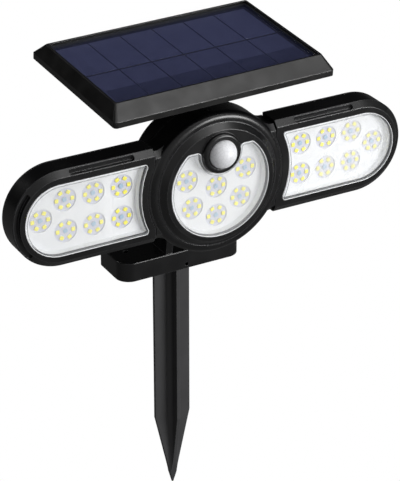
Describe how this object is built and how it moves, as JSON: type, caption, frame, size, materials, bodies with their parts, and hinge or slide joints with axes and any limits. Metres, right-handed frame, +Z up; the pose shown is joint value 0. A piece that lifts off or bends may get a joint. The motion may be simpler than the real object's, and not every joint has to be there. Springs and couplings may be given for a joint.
{
  "type": "solar motion sensor security light",
  "caption": "Solar security light: round centre head with motion sensor dome and crescent window, two folding side heads, tilting solar panel on top, bracket base and ground stake",
  "frame": {"origin": "centre of the base block's underside, on the axis of the ground stake", "axes": "+X is the light's right seen from the front, +Y points to the back, +Z is up, the windows face -Y"},
  "size_m": [0.3466, 0.1444, 0.4238],
  "materials": {
    "casing_black": "satin moulded ABS",
    "panel_frame_black": "satin moulded ABS",
    "stake_black": "matte moulded ABS",
    "clear_cover": "clear polycarbonate",
    "reflector_white": "white moulded ABS",
    "board_white": "white solder mask on glass epoxy",
    "board_green": "green solder mask on glass epoxy",
    "led_yellow": "phosphor in clear resin",
    "dome_milky": "milky polyethylene",
    "steel_zinc": "zinc plated",
    "steel_dark": "black oxide",
    "component_black": "epoxy",
    "seal_grey": "silicone rubber",
    "battery_wrap": "shrink film over steel",
    "button_grey": "matte silicone",
    "solar_blue": "coated silicon",
    "backsheet_dark": "laminate film",
    "panel_glass": "clear tempered"
  },
  "bodies": {
    "stake": {"ground_stake": "stake_black"},
    "base": {"base_housing": "casing_black", "base_plate": "casing_black", "base_screws": "steel_zinc", "tilt_bolt": "steel_dark", "tilt_nut": "steel_dark"},
    "head": {"head_front_housing": "casing_black", "head_seal": "seal_grey", "head_bezel": "casing_black", "head_lens_cover": "clear_cover", "head_reflector": "reflector_white", "head_led_board": "board_white", "head_leds": "led_yellow", "pir_dome": "dome_milky", "pir_sensor": "steel_zinc", "control_board": "board_green", "board_components": "component_black", "head_rear_housing": "casing_black", "head_screws": "steel_zinc", "mode_switch": "component_black", "battery_cells": "battery_wrap", "battery_cradle": "component_black", "swivel_screw": "steel_zinc", "left_hinge_pin": "steel_zinc", "right_hinge_pin": "steel_zinc"},
    "button": {"mode_button": "button_grey"},
    "left_wing": {"left_wing_housing": "casing_black", "left_wing_back_cover": "casing_black", "left_wing_seal": "seal_grey", "left_wing_lens_cover": "clear_cover", "left_wing_reflector": "reflector_white", "left_wing_led_board": "board_white", "left_wing_leds": "led_yellow", "left_wing_screws": "steel_zinc"},
    "right_wing": {"right_wing_housing": "casing_black", "right_wing_back_cover": "casing_black", "right_wing_seal": "seal_grey", "right_wing_lens_cover": "clear_cover", "right_wing_reflector": "reflector_white", "right_wing_led_board": "board_white", "right_wing_leds": "led_yellow", "right_wing_screws": "steel_zinc"},
    "swivel": {"panel_knuckle": "casing_black", "panel_bolt": "steel_dark", "panel_nut": "steel_dark"},
    "panel": {"panel_housing": "panel_frame_black", "panel_gasket": "seal_grey", "panel_glass": "panel_glass", "panel_cells": "solar_blue", "panel_backsheet": "backsheet_dark", "panel_back_cover": "panel_frame_black", "panel_screws": "steel_zinc"}
  },
  "joints": [
    {"name": "stake_pull", "type": "slide", "parent": "stake", "child": "base", "axis": [0, 0, 1], "range_m": [0, 0.0135]},
    {"name": "head_tilt", "type": "hinge", "parent": "base", "child": "head", "pos_m": [0, -0.014, 0.034], "axis": [1, 0, 0], "range_deg": [-45, 25]},
    {"name": "left_wing_fold", "type": "hinge", "parent": "head", "child": "left_wing", "pos_m": [-0.057, -0.049, 0.103], "axis": [0, 0, -1], "range_deg": [0, 90]},
    {"name": "right_wing_fold", "type": "hinge", "parent": "head", "child": "right_wing", "pos_m": [0.057, -0.049, 0.103], "axis": [0, 0, 1], "range_deg": [0, 90]},
    {"name": "panel_swivel", "type": "hinge", "parent": "head", "child": "swivel", "pos_m": [0, -0.0392, 0.158], "axis": [0, 0, 1], "range_deg": [-90, 90]},
    {"name": "panel_tilt", "type": "hinge", "parent": "swivel", "child": "panel", "pos_m": [0, -0.0392, 0.17], "axis": [0.9992, 0.0393, 0], "range_deg": [-25, 15]},
    {"name": "mode_press", "type": "slide", "parent": "head", "child": "button", "axis": [0, -1, 0], "range_m": [0, 0.0012], "stiffness_N_per_m": 900}
  ]
}
